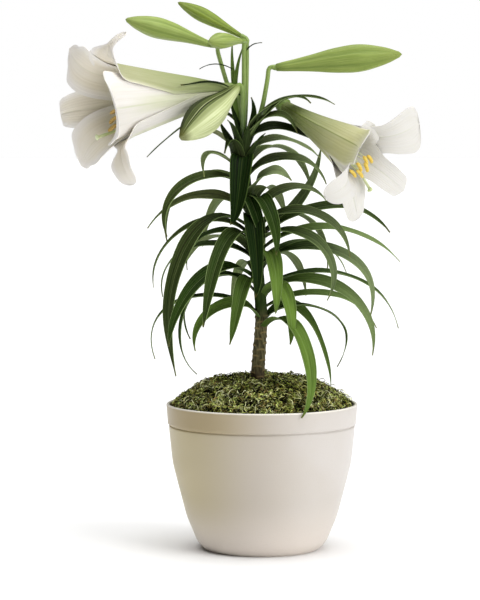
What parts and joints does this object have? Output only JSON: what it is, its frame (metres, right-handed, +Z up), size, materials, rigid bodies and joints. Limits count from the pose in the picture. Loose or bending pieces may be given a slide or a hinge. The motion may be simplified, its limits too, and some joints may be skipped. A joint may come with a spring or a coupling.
{
  "type": "potted easter lily",
  "caption": "Easter lily in a tapered ivory pot: leafy stem with arching strap leaves, open white trumpet blooms and closed green buds, with moss over the soil.",
  "frame": {"origin": "centre of the pot's flat base, on the surface that it stands on", "axes": "+Z up along the pot's axis; -Y towards the viewer of the picture; +X to that viewer's right"},
  "size_m": [0.3492, 0.2798, 0.5437],
  "materials": {
    "pot": "satin ivory glaze",
    "soil": "moist crumbly potting soil",
    "moss": "tangled dry sheet moss",
    "bulb": "fleshy pale scales",
    "leaf": "smooth dark green leaf",
    "bud": "smooth yellow-green, ribbed",
    "opening_bud": "smooth pale green and cream, ribbed",
    "petal": "soft white, green along the back of the midribs",
    "stamen": "golden pollen, pale green filaments and style"
  },
  "bodies": {
    "root": {"pot": "pot", "soil": "soil", "moss": "moss", "bulb": "bulb", "leafy_stem": "leaf", "right_bud": "bud", "left_bud": "bud", "top_bud": "bud", "front_bud": "bud", "low_bud": "opening_bud", "left_bloom_petals": "petal", "left_bloom_stamens": "stamen", "right_bloom_petals": "petal", "right_bloom_stamens": "stamen"}
  },
  "joints": []
}
